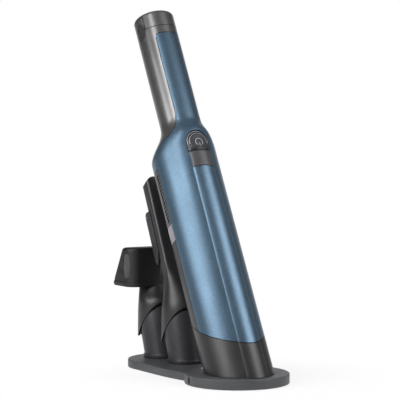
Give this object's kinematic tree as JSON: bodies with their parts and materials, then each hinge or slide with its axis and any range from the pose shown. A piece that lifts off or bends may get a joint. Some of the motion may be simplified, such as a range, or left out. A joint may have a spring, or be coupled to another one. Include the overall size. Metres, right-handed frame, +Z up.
{
  "type": "handheld vacuum",
  "caption": "Wand handheld vacuum leaning in a round charging dock, with a crevice tool with flip brush and an upholstery tool on two posts.",
  "frame": {"origin": "on the floor, under the centre of the dock's round front disc", "axes": "+Z up, -Y the front with the button, +X to the left-hand side of someone facing the front, across the part"},
  "size_m": [0.1016, 0.2366, 0.365],
  "materials": {
    "blue_shell": "satin metallic slate-blue moulding",
    "grey_satin": "satin dark grey moulding",
    "dark_gloss": "glossy near-black moulding",
    "dark_satin": "satin near-black moulding",
    "smoke_plastic": "smoked dark plastic",
    "black_rubber": "matte black rubber",
    "steel": "bare steel",
    "contact_brass": "plated contact",
    "lens_clear": "clear light lens",
    "filter_felt": "pleated felt",
    "bristle": "nylon bristle tuft and lint pile",
    "board_green": "circuit board",
    "cell_wrap": "cell sleeve"
  },
  "bodies": {
    "dock": {"dock_disc": "dark_satin", "base_cover": "black_rubber", "ballast_plate": "steel", "power_inlet": "dark_satin", "contact_pin_left": "contact_brass", "contact_pin_right": "contact_brass", "charge_light": "lens_clear", "dock_tail": "dark_satin", "foot_1": "black_rubber", "foot_2": "black_rubber", "foot_3": "black_rubber", "foot_4": "black_rubber", "foot_5": "black_rubber", "foot_6": "black_rubber", "front_post": "grey_satin", "front_bolt": "steel", "rear_post": "grey_satin", "rear_bolt": "steel"},
    "vacuum": {"front_shell": "blue_shell", "handle_shell": "grey_satin", "end_cap": "dark_satin", "side_inset": "dark_satin", "vent_panel": "dark_satin", "cup_catch": "smoke_plastic", "cup_spine": "smoke_plastic", "hinge_pin": "steel", "button_bezel": "dark_satin", "dust_cup": "smoke_plastic", "filter_frame": "dark_satin", "filter": "filter_felt", "fan_shroud": "dark_satin", "motor_mount": "dark_satin", "motor": "steel", "motor_screw_left": "steel", "motor_screw_right": "steel", "circuit_board": "board_green", "power_switch": "dark_satin", "cell_tray_lower": "dark_satin", "cell_tray_upper": "dark_satin", "battery_cell_left": "cell_wrap", "battery_cell_right": "cell_wrap", "battery_cell_lower": "cell_wrap"},
    "nozzle_door": {"nozzle": "dark_gloss", "contact_pad_left": "steel", "contact_pad_right": "steel"},
    "inlet_flap": {"inlet_flap": "black_rubber"},
    "power_button": {"power_button": "dark_satin"},
    "ejector": {"ejector_slider": "grey_satin", "ejector_rod": "steel"},
    "fan": {"fan": "dark_satin"},
    "crevice_tool": {"crevice_tube": "dark_satin", "brush_pin": "steel"},
    "brush": {"brush_arm": "grey_satin", "brush_bristles": "bristle"},
    "upholstery_tool": {"upholstery_head": "dark_satin", "lint_strip": "bristle"}
  },
  "joints": [
    {"name": "vac_lift", "type": "slide", "parent": "dock", "child": "vacuum", "axis": [0, 0, 1], "range_m": [0, 0.2]},
    {"name": "door_hinge", "type": "hinge", "parent": "vacuum", "child": "nozzle_door", "pos_m": [0, 0.05983, 0.05788], "axis": [1, 0, 0], "range_deg": [0, 60]},
    {"name": "flap_hinge", "type": "hinge", "parent": "nozzle_door", "child": "inlet_flap", "pos_m": [0, -0.0147, 0.0283], "axis": [1, 0, 0], "range_deg": [0, 45], "stiffness_Nm_per_rad": 0.002},
    {"name": "button_press", "type": "slide", "parent": "vacuum", "child": "power_button", "axis": [0, 0.8918, -0.4524], "range_m": [0, 0.0012], "stiffness_N_per_m": 500},
    {"name": "ejector_slide", "type": "slide", "parent": "vacuum", "child": "ejector", "axis": [0, -0.4524, -0.8918], "range_m": [0, 0.01], "stiffness_N_per_m": 150},
    {"name": "fan_spin", "type": "hinge", "parent": "vacuum", "child": "fan", "pos_m": [0, 0.05703, 0.1295], "axis": [0, 0.4524, 0.8918], "continuous": true},
    {"name": "crevice_lift", "type": "slide", "parent": "dock", "child": "crevice_tool", "axis": [0, 0, 1], "range_m": [0, 0.041]},
    {"name": "brush_flip", "type": "hinge", "parent": "crevice_tool", "child": "brush", "pos_m": [0, 0.1464, 0.15264], "axis": [1, 0, 0], "range_deg": [0, 10]},
    {"name": "upholstery_lift", "type": "slide", "parent": "dock", "child": "upholstery_tool", "axis": [0, 0.4384, 0.8988], "range_m": [0, 0.06]}
  ],
  "couplings": [
    {"joint": "door_hinge", "follows": "vac_lift", "rad_per_m": 5.2359}
  ]
}
